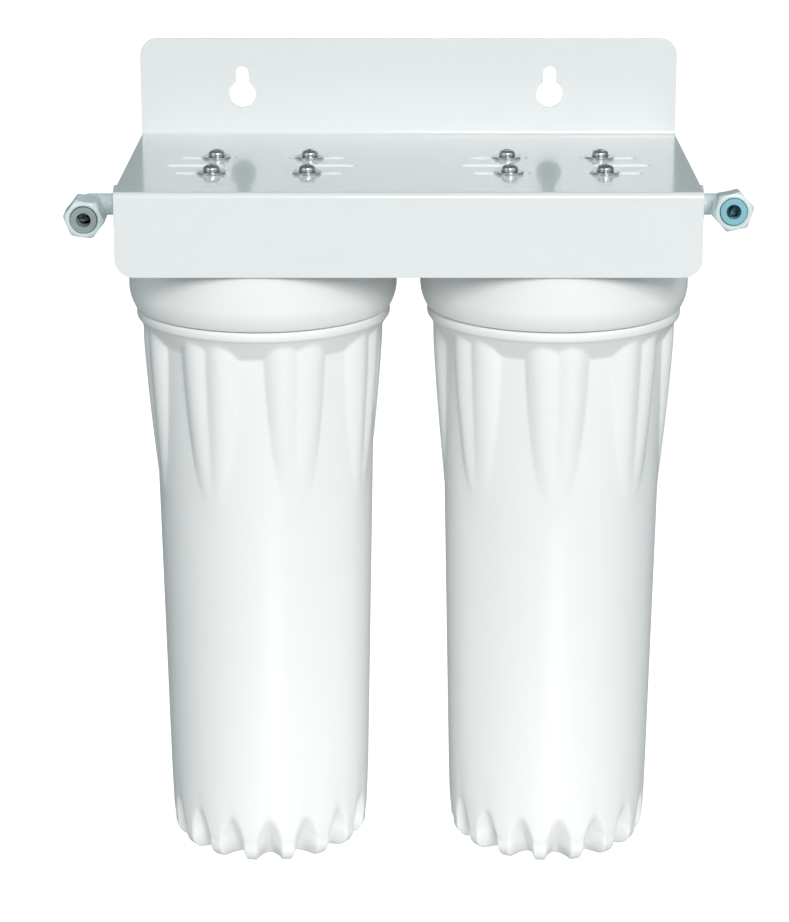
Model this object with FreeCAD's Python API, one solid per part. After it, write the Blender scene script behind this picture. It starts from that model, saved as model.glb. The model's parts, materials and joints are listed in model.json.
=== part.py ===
import FreeCAD, Part
import math
import os

# Wall-hung two-stage water filter: a folded steel bracket carries two screw-down housings,
# joined by a short nipple, with an elbow and a tube nut at each end.
# Millimetres. X runs along the wall, Y points into the wall, Z is up.
# The origin is on the wall face of the back plate, midway between the housings,
# level with the round part of the keyholes.

# Bracket, folded from one sheet
SHEET = 1.2
BEND_RADIUS = 1.5
BRACKET_MARGIN = 0.1
BACK_HEIGHT = 45.2
FLANGE_HEIGHT = 37.0
PLATE_CORNER = 8.0
KEYHOLE_HEIGHT = 18.9
KEYHOLE_SPACING = 144.5
KEYHOLE_OFFSET = -5.9
KEYHOLE_RADIUS = 6.2
KEYHOLE_NECK = 6.0
KEYHOLE_RISE = 10.1
SLOT_WIDTH = 5.5
SCREW_SLOT_LENGTH = 26.0
SCREW_SLOT_SHIFT = 3.5
SPARE_SLOT_LENGTH = 26.0
SPARE_SLOT_SHIFT = 8.5

# Space round the housings
WALL_SPACE = 19.4
LINK_GAP = 7.0
FLANGE_CLEARANCE = 0.4

# Head, the fixed cap that hangs under the shelf
HEAD_RADIUS = 60.2
HEAD_HEIGHT = 61.2
HEAD_TAPER = 8.9
TAPER_STEP = 2.9
TAPER_SAG = 0.9
TOP_EDGE = 1.5
TOP_PLATE = 5.0
HEAD_CAVITY = 47.0
BORE_DEPTH = 33.0
RIM_WALL = 5.0
NOZZLE_RECESS = 7.2
NOZZLE_LAND = 3.0
NOZZLE_BEAD = 1.2
NOZZLE_BORE = 7.0
PILOT_CLEARANCE = 1.5
PILOT_LENGTH = 8.0
PORT_DROP = 16.3
PORT_BOSS_RADIUS = 12.5
PORT_STAND = 1.8
PORT_RADIUS = 6.6
PORT_DEPTH = 12.0
CHANNEL_RADIUS = 4.5
CHANNEL_WALL = 4.0
CHANNEL_INSET = 9.0

# Screws that hang each head from the shelf
SCREW_X = 21.0
SCREW_Y = 18.0
SCREW_SHANK = 2.05
SCREW_LENGTH = 16.0
SCREW_HEAD_RADIUS = 3.75
SCREW_HEAD_HEIGHT = 2.8
SCREW_HEAD_EDGE = 1.1
SCREW_CROWN = 1.6
WASHER_RADIUS = 6.25
WASHER_THICKNESS = 1.0
WASHER_CLEARANCE = 0.35
POST_WALL = 2.5
POST_SPARE = 3.0

# Sump, the bowl that screws up into the head
RIM_GAP = 0.9
NECK_CLEARANCE = 0.3
NECK_TOP_GAP = 1.5
NECK_WALL = 5.2
BEAD_SET_BACK = 0.2
BEAD_ROUND = 0.8
BEAD_HEIGHT = 4.0
SHOULDER_HEIGHT = 8.2
SHOULDER_STEP = 6.5
BODY_DRAFT = 4.4
SUMP_WALL = 3.4
FLOOR_THICKNESS = 5.0
FOOT_CORNER = 8.0
FOOT_RISE = 3.2
FOOT_INNER = 24.0
SPIGOT_HEIGHT = 6.0
ORING_SECTION = 1.4
ORING_CLEARANCE = 0.1
GLAND_WIDTH = 3.6
GLAND_DROP = 2.0

# Leaf-shaped grips round the sump, each of two rounded lobes
LEAF_COUNT = 8
LEAF_HALF_WIDTH = 14.2
LEAF_LENGTH = 65.5
LEAF_HEIGHT = 4.5
LEAF_WIDTH_POWER = 0.65
LEAF_HEIGHT_POWER = 0.9
LOBE_SHARE = 0.39
LEAF_STATIONS = (0.0, 0.2, 0.38, 0.54, 0.68, 0.8, 0.9, 0.975)

# Flutes round the sump's foot
FLUTE_COUNT = 16
FLUTE_RADIUS = 6.5
FLUTE_STAND_OFF = 3.2
FLUTE_TILT = 26.0

# How far the grips and flutes of each sump are turned about its axis
LEAF_TURN = {"left": 15.5, "right": 2.5}
FLUTE_TURN = {"left": 11.0, "right": -5.0}

# Filter cartridges, ten-inch size
CARTRIDGE_LENGTH = 250.0
CARTRIDGE_GAP = 0.3
CARTRIDGE_RADIUS = 31.5
CARTRIDGE_BORE = 14.0
CORE_WALL = 1.8
CORE_WINDOW = 6.0
CORE_ROWS = 9
CORE_COLUMNS = 4
SLEEVE_GAP = 0.2
CAP_THICKNESS = 4.0
CAP_LIP = 8.0
CAP_WALL = 2.0
CAP_RIM = 4.4
GASKET_WIDTH = 7.0
GASKET_THICKNESS = 3.0
NET_WALL = 0.9
WRAP_WALL = 2.2
LAYER_GAP = 0.1

# Tube fittings: elbow, ring and nut, drawn with the elbow's corner at the origin,
# the head towards +X and the tube leaving along -Y
FITTING_REACH = 15.0
FITTING_TILT = {"inlet": 3.0, "outlet": -4.5}
THREAD_CLEARANCE = 0.05
THREAD_SPARE = 1.5
SEAL_THICKNESS = 1.2
SEAL_WIDTH = 2.8
SEAL_CLEARANCE = 0.15
COLLAR_RADIUS = 8.5
COLLAR_LENGTH = 3.0
ARM_RADIUS = 4.8
WATERWAY = 2.0
SOCKET_RADIUS = 6.5
NUT_FACE = 28.0
NUT_LENGTH = 13.0
NUT_POINTS = 6
NUT_POINT_HEIGHT = 1.7
NUT_WALL = 1.2
NUT_LIP = 2.5
NUT_CLEARANCE = 0.3
NUT_TURN = {"inlet": 52.0, "outlet": 168.0}
RING_RADIUS = 5.8
RING_PROUD = 0.4
RING_FLANGE = 2.0
RING_TAIL = 5.0
RING_GRIP = 6.4
RING_RELIEF = 0.2
TAIL_WALL = 2.0
TUBE_RADIUS = 3.2
TUBE_STOP = 5.0
STEM_RADIUS = 2.1
STEM_BORE = 1.2
STEM_BACK = 7.2
STEM_ROOT = 1.0

# Nipple between the heads
NIPPLE_HEX = 17.0
NIPPLE_BORE = 4.0

# Radii and places worked out from the sizes above
RIM_RADIUS = HEAD_RADIUS - TAPER_STEP
NECK_BORE = RIM_RADIUS - RIM_WALL
NECK_RADIUS = NECK_BORE - NECK_CLEARANCE
NECK_INNER = NECK_RADIUS - NECK_WALL
ORING_CENTRE = NECK_BORE - ORING_CLEARANCE - ORING_SECTION
BEAD_RADIUS = RIM_RADIUS - BEAD_SET_BACK
BEAD_EDGE = BEAD_RADIUS - BEAD_ROUND
BODY_TOP_RADIUS = BEAD_RADIUS - SHOULDER_STEP
BODY_FOOT_RADIUS = BODY_TOP_RADIUS - BODY_DRAFT
NOZZLE_RADIUS = CARTRIDGE_BORE + NOZZLE_LAND
NOZZLE_DROP = HEAD_HEIGHT - NOZZLE_RECESS
PILOT_RADIUS = CARTRIDGE_BORE - PILOT_CLEARANCE
PILOT_HOLE = SCREW_SHANK + THREAD_CLEARANCE
POST_RADIUS = PILOT_HOLE + POST_WALL
PORT_REACH = HEAD_RADIUS + PORT_STAND
THREAD_RADIUS = PORT_RADIUS - THREAD_CLEARANCE
THREAD_LENGTH = PORT_DEPTH - THREAD_SPARE
SEAL_BORE = THREAD_RADIUS + SEAL_CLEARANCE
SEAL_RADIUS = SEAL_BORE + SEAL_WIDTH
NET_RADIUS = CARTRIDGE_RADIUS - CAP_WALL
WRAP_RADIUS = NET_RADIUS - NET_WALL - LAYER_GAP
BLOCK_RADIUS = WRAP_RADIUS - WRAP_WALL - LAYER_GAP
GASKET_RADIUS = CARTRIDGE_BORE + GASKET_WIDTH
NUT_BORE = SOCKET_RADIUS + NUT_CLEARANCE
NUT_HOLLOW = NUT_BORE + NUT_WALL
NUT_CORNER = NUT_HOLLOW + NUT_POINT_HEIGHT
TAIL_RADIUS = TUBE_RADIUS + TAIL_WALL

HOUSING_PITCH = 2 * PORT_REACH + LINK_GAP
AXIS_TO_WALL = HEAD_RADIUS + WALL_SPACE
BRACKET_WIDTH = HOUSING_PITCH + 2 * HEAD_RADIUS + 2 * BRACKET_MARGIN
FLANGE_FACE = AXIS_TO_WALL + HEAD_RADIUS + FLANGE_CLEARANCE + SHEET
PORT_FACE = HOUSING_PITCH / 2 + PORT_REACH
SHELF_TOP = -KEYHOLE_HEIGHT
SHELF_UNDER = SHELF_TOP - SHEET
COLLAR_TOP = -HEAD_HEIGHT - RIM_GAP
NECK_TOP = -BORE_DEPTH - NECK_TOP_GAP
SHOULDER_TOP = COLLAR_TOP - BEAD_HEIGHT
BODY_TOP = SHOULDER_TOP - SHOULDER_HEIGHT
CARTRIDGE_HEAD = -NOZZLE_DROP - CARTRIDGE_GAP
CARTRIDGE_FOOT = CARTRIDGE_HEAD - CARTRIDGE_LENGTH
FLOOR_TOP = CARTRIDGE_FOOT - CARTRIDGE_GAP - SPIGOT_HEIGHT
FLOOR_UNDER = FLOOR_TOP - FLOOR_THICKNESS
SUMP_FOOT = FLOOR_UNDER - FOOT_RISE
RING_FACE = NUT_FACE + RING_PROUD
RING_BACK = NUT_FACE - NUT_LIP - NUT_CLEARANCE
SOCKET_FACE = RING_BACK - RING_FLANGE - NUT_CLEARANCE
SOCKET_SEAT = SOCKET_FACE - RING_TAIL
SOCKET_FOOT = SOCKET_SEAT - TUBE_STOP

DIAGONAL = math.sqrt(0.5)
X_AXIS = FreeCAD.Vector(1, 0, 0)
Y_AXIS = FreeCAD.Vector(0, 1, 0)
Z_AXIS = FreeCAD.Vector(0, 0, 1)
ORIGIN = FreeCAD.Vector(0, 0, 0)


def point(x, y, z):
    return FreeCAD.Vector(x, y, z)


def outline(start, moves, place):
    """Closed wire from a start point: each move is a point, or a pair for an arc through the first."""
    edges = []
    here = start
    for move in list(moves) + [start]:
        if isinstance(move[0], tuple):
            through, end = move
            edges.append(Part.Arc(place(*here), place(*through), place(*end)).toShape())
            here = end
        elif math.dist(here, move) > 1e-6:
            edges.append(Part.LineSegment(place(*here), place(*move)).toShape())
            here = move
    return Part.Wire(edges)


def turned(start, *moves):
    """Solid of revolution about Z from an outline of (radius, height) points."""
    wire = outline(start, moves, lambda r, z: point(r, 0, z))
    return Part.Face(wire).revolve(ORIGIN, Z_AXIS, 360)


def tube(outer, inner, low, high):
    return turned((inner, low), (outer, low), (outer, high), (inner, high))


def rod(radius, start, end):
    """Round bar between two points."""
    span = end - start
    return Part.makeCylinder(radius, span.Length, start, span)


def corner_arc(centre_r, centre_z, radius, degrees):
    angle = math.radians(degrees)
    return (centre_r + radius * math.cos(angle), centre_z + radius * math.sin(angle))


def spun(shape, count, first=0.0):
    """Copies of a shape, evenly spaced about Z."""
    copies = []
    for index in range(count):
        copy = shape.copy()
        copy.rotate(ORIGIN, Z_AXIS, first + 360.0 * index / count)
        copies.append(copy)
    return copies


def slot(length, width, x, y):
    """Upright cutter with round ends for a slot along X through the shelf."""
    reach = (length - width) / 2
    wide = width / 2
    wire = outline(
        (x - reach, y - wide),
        [
            (x + reach, y - wide),
            ((x + reach + wide, y), (x + reach, y + wide)),
            (x - reach, y + wide),
            ((x - reach - wide, y), (x - reach, y - wide)),
        ],
        lambda a, b: point(a, b, SHELF_UNDER - SHEET),
    )
    return Part.Face(wire).extrude(Z_AXIS * (3 * SHEET))


def folded_sheet():
    """Back plate, shelf and front flange as one bent strip, drawn from the side."""
    outer = BEND_RADIUS + SHEET
    top = SHELF_TOP + BACK_HEIGHT
    foot = SHELF_TOP - FLANGE_HEIGHT
    front = -FLANGE_FACE
    rear_bend = (-outer, SHELF_UNDER + outer)
    front_bend = (front + outer, SHELF_TOP - outer)
    rear_out = (rear_bend[0] + outer * DIAGONAL, rear_bend[1] - outer * DIAGONAL)
    rear_in = (rear_bend[0] + BEND_RADIUS * DIAGONAL, rear_bend[1] - BEND_RADIUS * DIAGONAL)
    front_out = (front_bend[0] - outer * DIAGONAL, front_bend[1] + outer * DIAGONAL)
    front_in = (front_bend[0] - BEND_RADIUS * DIAGONAL, front_bend[1] + BEND_RADIUS * DIAGONAL)
    wire = outline(
        (0.0, top),
        [
            (0.0, rear_bend[1]),
            (rear_out, (rear_bend[0], SHELF_UNDER)),
            (front_bend[0], SHELF_UNDER),
            (front_in, (front + SHEET, front_bend[1])),
            (front + SHEET, foot),
            (front, foot),
            (front, front_bend[1]),
            (front_out, (front_bend[0], SHELF_TOP)),
            (rear_bend[0], SHELF_TOP),
            (rear_in, (-SHEET, rear_bend[1])),
            (-SHEET, top),
        ],
        lambda y, z: point(-BRACKET_WIDTH / 2, y, z),
    )
    return Part.Face(wire).extrude(X_AXIS * BRACKET_WIDTH)


def plate_outline():
    """Front view of the blank with its four rounded corners."""
    half = BRACKET_WIDTH / 2
    top = SHELF_TOP + BACK_HEIGHT
    foot = SHELF_TOP - FLANGE_HEIGHT
    soft = PLATE_CORNER
    bend = soft * (1 - DIAGONAL)
    wire = outline(
        (-half + soft, foot),
        [
            (half - soft, foot),
            ((half - bend, foot + bend), (half, foot + soft)),
            (half, top - soft),
            ((half - bend, top - bend), (half - soft, top)),
            (-half + soft, top),
            ((-half + bend, top - bend), (-half, top - soft)),
            (-half, foot + soft),
            ((-half + bend, foot + bend), (-half + soft, foot)),
        ],
        lambda x, z: point(x, -FLANGE_FACE - SHEET, z),
    )
    return Part.Face(wire).extrude(Y_AXIS * (FLANGE_FACE + 2 * SHEET))


def keyhole(x):
    """Cutter for a round hole with a narrow rounded neck above it."""
    through = Y_AXIS * (3 * SHEET)
    start = point(x, -2 * SHEET, 0)
    lift = Z_AXIS * KEYHOLE_RISE
    entry = rod(KEYHOLE_RADIUS, start, start + through)
    seat = rod(KEYHOLE_NECK / 2, start + lift, start + lift + through)
    neck = Part.makeBox(
        KEYHOLE_NECK, 3 * SHEET, KEYHOLE_RISE, point(x - KEYHOLE_NECK / 2, -2 * SHEET, 0)
    )
    return entry.fuse([seat, neck])


def bracket():
    shape = folded_sheet().common(plate_outline())
    cutters = []
    for side in (-1, 1):
        cutters.append(keyhole(KEYHOLE_OFFSET + side * KEYHOLE_SPACING / 2))
        axis_x = side * HOUSING_PITCH / 2
        for outward in (-1, 1):
            screw_x = axis_x + outward * (SCREW_X + SCREW_SLOT_SHIFT)
            for row in (-1, 1):
                slot_y = -AXIS_TO_WALL + row * SCREW_Y
                cutters.append(slot(SCREW_SLOT_LENGTH, SLOT_WIDTH, screw_x, slot_y))
            spare_x = axis_x + outward * (SCREW_X + SPARE_SLOT_SHIFT)
            cutters.append(slot(SPARE_SLOT_LENGTH, SLOT_WIDTH, spare_x, -AXIS_TO_WALL))
    return shape.cut(cutters)


def screw_places():
    return [(x * SCREW_X, y * SCREW_Y) for x in (-1, 1) for y in (-1, 1)]


def head():
    """Cap with a ring bore for the sump's neck, a centre nozzle and a port on each side."""
    taper_top = -HEAD_HEIGHT + HEAD_TAPER
    shell = turned(
        (0.0, 0.0),
        (HEAD_RADIUS - TOP_EDGE, 0.0),
        (corner_arc(HEAD_RADIUS - TOP_EDGE, -TOP_EDGE, TOP_EDGE, 45), (HEAD_RADIUS, -TOP_EDGE)),
        (HEAD_RADIUS, taper_top),
        ((HEAD_RADIUS - TAPER_SAG, taper_top - HEAD_TAPER / 2), (RIM_RADIUS, -HEAD_HEIGHT)),
        (NECK_BORE, -HEAD_HEIGHT),
        (NECK_BORE, -BORE_DEPTH),
        (HEAD_CAVITY, -BORE_DEPTH),
        (HEAD_CAVITY, -TOP_PLATE),
        (0.0, -TOP_PLATE),
    )
    half_plate = -TOP_PLATE / 2
    nozzle = turned(
        (0.0, half_plate),
        (NOZZLE_RADIUS, half_plate),
        (NOZZLE_RADIUS, NOZZLE_BEAD - NOZZLE_DROP),
        (NOZZLE_RADIUS - NOZZLE_BEAD, -NOZZLE_DROP),
        (PILOT_RADIUS, -NOZZLE_DROP),
        (PILOT_RADIUS, -NOZZLE_DROP - PILOT_LENGTH),
        (0.0, -NOZZLE_DROP - PILOT_LENGTH),
    )
    channel = CHANNEL_RADIUS + CHANNEL_WALL
    port = point(0, 0, -PORT_DROP)
    wall = X_AXIS * ((HEAD_CAVITY + HEAD_RADIUS) / 2)
    drop = X_AXIS * (HEAD_CAVITY - CHANNEL_INSET)
    added = [
        nozzle,
        rod(channel, port, port + wall),
        rod(channel, port - drop, port - wall),
        rod(PORT_BOSS_RADIUS, port + wall, port + X_AXIS * PORT_REACH),
        rod(PORT_BOSS_RADIUS, port - wall, port - X_AXIS * PORT_REACH),
    ]
    post_foot = SHEET + WASHER_THICKNESS - SCREW_LENGTH - POST_SPARE
    cuts = [
        rod(NOZZLE_BORE, point(0, 0, -NOZZLE_DROP - PILOT_LENGTH), port),
        rod(CHANNEL_RADIUS, port, port + X_AXIS * PORT_REACH),
        rod(CHANNEL_RADIUS, port - drop, port - X_AXIS * PORT_REACH),
        rod(CHANNEL_RADIUS, port - drop - Z_AXIS * (channel + CHANNEL_WALL), port - drop),
        rod(PORT_RADIUS, port + X_AXIS * (PORT_REACH - PORT_DEPTH), port + X_AXIS * PORT_REACH),
        rod(PORT_RADIUS, port - X_AXIS * (PORT_REACH - PORT_DEPTH), port - X_AXIS * PORT_REACH),
    ]
    for x, y in screw_places():
        added.append(rod(POST_RADIUS, point(x, y, post_foot), point(x, y, half_plate)))
        cuts.append(rod(PILOT_HOLE, point(x, y, post_foot + POST_SPARE / 2), point(x, y, 0)))
    return shell.fuse(added).cut(cuts).removeSplitter()


def head_screws():
    """Four self-tapping pan-head screws."""
    screws = []
    seat = SHEET + WASHER_THICKNESS
    edge = seat + SCREW_HEAD_EDGE
    crown = seat + SCREW_HEAD_HEIGHT
    round_r = SCREW_CROWN + (SCREW_HEAD_RADIUS - SCREW_CROWN) * DIAGONAL
    round_z = edge + (crown - edge) * DIAGONAL
    for x, y in screw_places():
        screw = turned(
            (0.0, seat - SCREW_LENGTH),
            (SCREW_SHANK, seat - SCREW_LENGTH + SCREW_SHANK),
            (SCREW_SHANK, seat),
            (SCREW_HEAD_RADIUS, seat),
            (SCREW_HEAD_RADIUS, edge),
            ((round_r, round_z), (SCREW_CROWN, crown)),
            (0.0, crown),
        )
        screw.translate(point(x, y, 0))
        screws.append(screw)
    return Part.makeCompound(screws)


def head_washers():
    washers = []
    bore = SCREW_SHANK + WASHER_CLEARANCE
    for x, y in screw_places():
        washer = tube(WASHER_RADIUS, bore, SHEET, SHEET + WASHER_THICKNESS)
        washer.translate(point(x, y, 0))
        washers.append(washer)
    return Part.makeCompound(washers)


def body_radius(z):
    """Outside radius of the sump's drafted wall."""
    share = (BODY_TOP - z) / (BODY_TOP - SUMP_FOOT)
    return BODY_TOP_RADIUS + share * (BODY_FOOT_RADIUS - BODY_TOP_RADIUS)


def leaf_lobe(side):
    """One lobe of a leaf grip: circles that shrink and draw together towards the tip."""
    sections = []
    for station in LEAF_STATIONS:
        z = BODY_TOP - station * LEAF_LENGTH
        swell = 1 - station ** 2
        half_width = LEAF_HALF_WIDTH * swell ** LEAF_WIDTH_POWER
        height = LEAF_HEIGHT * swell ** LEAF_HEIGHT_POWER
        offset = LOBE_SHARE * half_width
        reach = half_width - offset
        radius = (reach ** 2 + height ** 2) / (2 * height)
        centre = point(side * offset, -(body_radius(z) + height - radius), z)
        if not sections:
            upper = point(centre.x, centre.y, SHOULDER_TOP)
            sections.append(Part.Wire(Part.makeCircle(radius, upper, Z_AXIS)))
        sections.append(Part.Wire(Part.makeCircle(radius, centre, Z_AXIS)))
    return Part.makeLoft(sections, True, False)


def foot_flute():
    """Round cutter that leans in towards the foot, on the -Y side."""
    lean = math.radians(FLUTE_TILT)
    centre_r = BODY_FOOT_RADIUS - FOOT_CORNER
    centre_z = SUMP_FOOT + FOOT_CORNER
    reach, drop = corner_arc(centre_r, centre_z, FOOT_CORNER + FLUTE_STAND_OFF, -45)
    along = point(0, -math.sin(lean), math.cos(lean))
    middle = point(0, -reach, drop)
    span = 4 * FLUTE_RADIUS
    return rod(FLUTE_RADIUS, middle - along * span, middle + along * span)


def sump(name):
    """Bowl with a plain neck, a beaded collar, leaf grips and a fluted foot."""
    corner_r = body_radius(SUMP_FOOT + FOOT_CORNER) - FOOT_CORNER
    outside = turned(
        (0.0, FLOOR_UNDER),
        (FOOT_INNER, FLOOR_UNDER),
        (FOOT_INNER + FOOT_RISE, SUMP_FOOT),
        (corner_r, SUMP_FOOT),
        (
            corner_arc(corner_r, SUMP_FOOT + FOOT_CORNER, FOOT_CORNER, -45),
            (corner_r + FOOT_CORNER, SUMP_FOOT + FOOT_CORNER),
        ),
        (BODY_TOP_RADIUS, BODY_TOP),
        (BEAD_EDGE, SHOULDER_TOP),
        ((BEAD_RADIUS, (SHOULDER_TOP + COLLAR_TOP) / 2), (BEAD_EDGE, COLLAR_TOP)),
        (NECK_RADIUS, COLLAR_TOP),
        (NECK_RADIUS, NECK_TOP),
        (0.0, NECK_TOP),
    )
    grips = []
    for side in (-1, 1):
        grips += spun(leaf_lobe(side), LEAF_COUNT, LEAF_TURN[name])
    flutes = spun(foot_flute(), FLUTE_COUNT, FLUTE_TURN[name])
    inner_top = body_radius(BODY_TOP) - SUMP_WALL
    inner_foot = body_radius(FLOOR_TOP) - SUMP_WALL
    soft = FOOT_CORNER
    inside = turned(
        (0.0, FLOOR_TOP),
        (inner_foot - soft, FLOOR_TOP),
        (corner_arc(inner_foot - soft, FLOOR_TOP + soft, soft, -45), (inner_foot, FLOOR_TOP + soft)),
        (inner_top, BODY_TOP),
        (NECK_INNER, COLLAR_TOP),
        (NECK_INNER, NECK_TOP),
        (0.0, NECK_TOP),
    )
    gland_top = NECK_TOP - GLAND_DROP
    gland = tube(NECK_BORE, ORING_CENTRE - ORING_SECTION, gland_top - GLAND_WIDTH, gland_top)
    spigot = turned(
        (0.0, FLOOR_TOP),
        (NOZZLE_RADIUS, FLOOR_TOP),
        (NOZZLE_RADIUS, FLOOR_TOP + SPIGOT_HEIGHT),
        (PILOT_RADIUS, FLOOR_TOP + SPIGOT_HEIGHT),
        (PILOT_RADIUS, FLOOR_TOP + SPIGOT_HEIGHT + PILOT_LENGTH),
        (0.0, FLOOR_TOP + SPIGOT_HEIGHT + PILOT_LENGTH),
    )
    return outside.fuse(grips).cut(flutes + [inside, gland]).fuse(spigot).removeSplitter()


def sump_oring():
    z = NECK_TOP - GLAND_DROP - GLAND_WIDTH / 2
    return Part.makeTorus(ORING_CENTRE, ORING_SECTION, point(0, 0, z), Z_AXIS)


def sediment_element():
    """Thick sleeve of blown fibre."""
    inner = CARTRIDGE_BORE + CORE_WALL + SLEEVE_GAP
    return tube(CARTRIDGE_RADIUS, inner, CARTRIDGE_FOOT, CARTRIDGE_HEAD)


def sediment_core():
    """Moulded tube with rows of windows."""
    outer = CARTRIDGE_BORE + CORE_WALL
    core = tube(outer, CARTRIDGE_BORE, CARTRIDGE_FOOT, CARTRIDGE_HEAD)
    pitch = CARTRIDGE_LENGTH / CORE_ROWS
    windows = []
    for row in range(CORE_ROWS):
        foot = CARTRIDGE_FOOT + pitch * (row + 0.5) - CORE_WINDOW / 2
        window = Part.makeBox(outer * 2, CORE_WINDOW, CORE_WINDOW, point(0, -CORE_WINDOW / 2, foot))
        windows += spun(window, CORE_COLUMNS, 180.0 / CORE_COLUMNS * (row % 2))
    return core.cut(windows)


def carbon_span():
    """Low and high ends of the carbon block and its layers, between the end caps."""
    ends = GASKET_THICKNESS / 2 + CAP_THICKNESS
    return CARTRIDGE_FOOT + ends, CARTRIDGE_HEAD - ends


def carbon_block():
    low, high = carbon_span()
    return tube(BLOCK_RADIUS, CARTRIDGE_BORE, low, high)


def carbon_wrap():
    low, high = carbon_span()
    return tube(WRAP_RADIUS, WRAP_RADIUS - WRAP_WALL, low, high)


def carbon_net():
    low, high = carbon_span()
    return tube(NET_RADIUS, NET_RADIUS - NET_WALL, low, high)


def carbon_cap():
    """Cup-shaped end cap, drawn for the foot, with a seat for its gasket."""
    low, _ = carbon_span()
    face = low - CAP_THICKNESS
    lip = NET_RADIUS + LAYER_GAP
    rim = lip + CAP_RIM
    return turned(
        (CARTRIDGE_BORE, low),
        (CARTRIDGE_BORE, face + GASKET_THICKNESS / 2),
        (GASKET_RADIUS, face + GASKET_THICKNESS / 2),
        (GASKET_RADIUS, face),
        (rim, face),
        (rim, low + CAP_LIP),
        (lip, low + CAP_LIP),
        (lip, low),
    )


def carbon_gasket():
    """Flat rubber ring, drawn for the foot."""
    return tube(GASKET_RADIUS, CARTRIDGE_BORE, CARTRIDGE_FOOT, CARTRIDGE_FOOT + GASKET_THICKNESS)


def upended(shape):
    """The same piece at the other end of the cartridge."""
    middle = point(0, 0, (CARTRIDGE_FOOT + CARTRIDGE_HEAD) / 2)
    return shape.mirror(middle, Z_AXIS)


def along_tube(start, *moves):
    """Solid of revolution about the tube's line from (radius, distance) points."""
    shape = turned(start, *moves)
    shape.rotate(ORIGIN, X_AXIS, 90)
    return shape


def elbow():
    """Threaded spigot, collar and arm towards the head, and a threaded socket for the tube."""
    face = FITTING_REACH
    seat = face - SEAL_THICKNESS
    shape = rod(ARM_RADIUS, ORIGIN, X_AXIS * seat)
    shape = shape.fuse(
        [
            Part.makeSphere(ARM_RADIUS),
            rod(COLLAR_RADIUS, X_AXIS * (seat - COLLAR_LENGTH), X_AXIS * seat),
            rod(THREAD_RADIUS, X_AXIS * seat, X_AXIS * (face + THREAD_LENGTH)),
            along_tube(
                (0.0, 0.0),
                (ARM_RADIUS, 0.0),
                (ARM_RADIUS, NUT_FACE - NUT_LENGTH - SEAL_THICKNESS),
                (SOCKET_RADIUS, NUT_FACE - NUT_LENGTH),
                (SOCKET_RADIUS, SOCKET_FACE),
                (0.0, SOCKET_FACE),
            ),
        ]
    )
    hollow = along_tube(
        (0.0, SOCKET_FOOT),
        (TUBE_RADIUS + RING_RELIEF, SOCKET_FOOT),
        (TUBE_RADIUS + RING_RELIEF, SOCKET_SEAT - NUT_CLEARANCE),
        (TAIL_RADIUS + NUT_CLEARANCE, SOCKET_SEAT - NUT_CLEARANCE),
        (TAIL_RADIUS + NUT_CLEARANCE, SOCKET_FACE),
        (0.0, SOCKET_FACE),
    )
    water = rod(WATERWAY, ORIGIN, X_AXIS * (face + THREAD_LENGTH))
    bore = rod(STEM_BORE, ORIGIN, Y_AXIS * -RING_FACE)
    stem = along_tube(
        (STEM_BORE, SOCKET_FOOT - STEM_ROOT),
        (STEM_RADIUS, SOCKET_FOOT - STEM_ROOT),
        (STEM_RADIUS, RING_FACE - STEM_BACK),
        (STEM_BORE, RING_FACE - STEM_BACK),
    )
    return shape.cut([hollow, water, bore]).fuse(stem).removeSplitter()


def port_seal():
    washer = tube(SEAL_RADIUS, SEAL_BORE, FITTING_REACH - SEAL_THICKNESS, FITTING_REACH)
    washer.rotate(ORIGIN, Y_AXIS, 90)
    return washer


def tube_ring():
    """Coloured collar that the tube passes through, with a flange behind the nut's lip."""
    return along_tube(
        (TUBE_RADIUS, RING_FACE),
        (RING_RADIUS, RING_FACE),
        (RING_RADIUS, RING_BACK),
        (SOCKET_RADIUS, RING_BACK),
        (SOCKET_RADIUS, RING_BACK - RING_FLANGE),
        (TAIL_RADIUS, RING_BACK - RING_FLANGE),
        (TAIL_RADIUS, SOCKET_SEAT),
        (TUBE_RADIUS + RING_RELIEF, SOCKET_SEAT),
        (TUBE_RADIUS + RING_RELIEF, RING_FACE - RING_GRIP),
        (TUBE_RADIUS, RING_FACE - RING_GRIP),
    )


def tube_nut(first):
    """Hand nut with rounded points and hollow sides."""
    step = 360.0 / NUT_POINTS
    corners = []
    moves = []
    for index in range(NUT_POINTS + 1):
        angle = math.radians(first + step * (index % NUT_POINTS))
        corners.append((NUT_CORNER * math.cos(angle), NUT_CORNER * math.sin(angle)))
    for index in range(NUT_POINTS):
        middle = math.radians(first + step * (index + 0.5))
        side = (NUT_HOLLOW * math.cos(middle), NUT_HOLLOW * math.sin(middle))
        moves.append((side, corners[index + 1]))
    wire = outline(corners[0], moves, lambda x, z: point(x, -NUT_FACE, z))
    star = Part.Face(wire).extrude(Y_AXIS * NUT_LENGTH)
    rounded = along_tube(
        (0.0, NUT_FACE - NUT_LENGTH),
        (NUT_CORNER, NUT_FACE - NUT_LENGTH),
        (NUT_CORNER, NUT_FACE - NUT_LIP),
        (NUT_HOLLOW, NUT_FACE),
        (0.0, NUT_FACE),
    )
    lip_bore = RING_RADIUS + NUT_CLEARANCE
    hollow = along_tube(
        (0.0, 0.0),
        (NUT_BORE, 0.0),
        (NUT_BORE, NUT_FACE - NUT_LIP),
        (lip_bore, NUT_FACE - NUT_LIP),
        (lip_bore, RING_FACE),
        (0.0, RING_FACE),
    )
    return star.common(rounded).cut(hollow)


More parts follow.
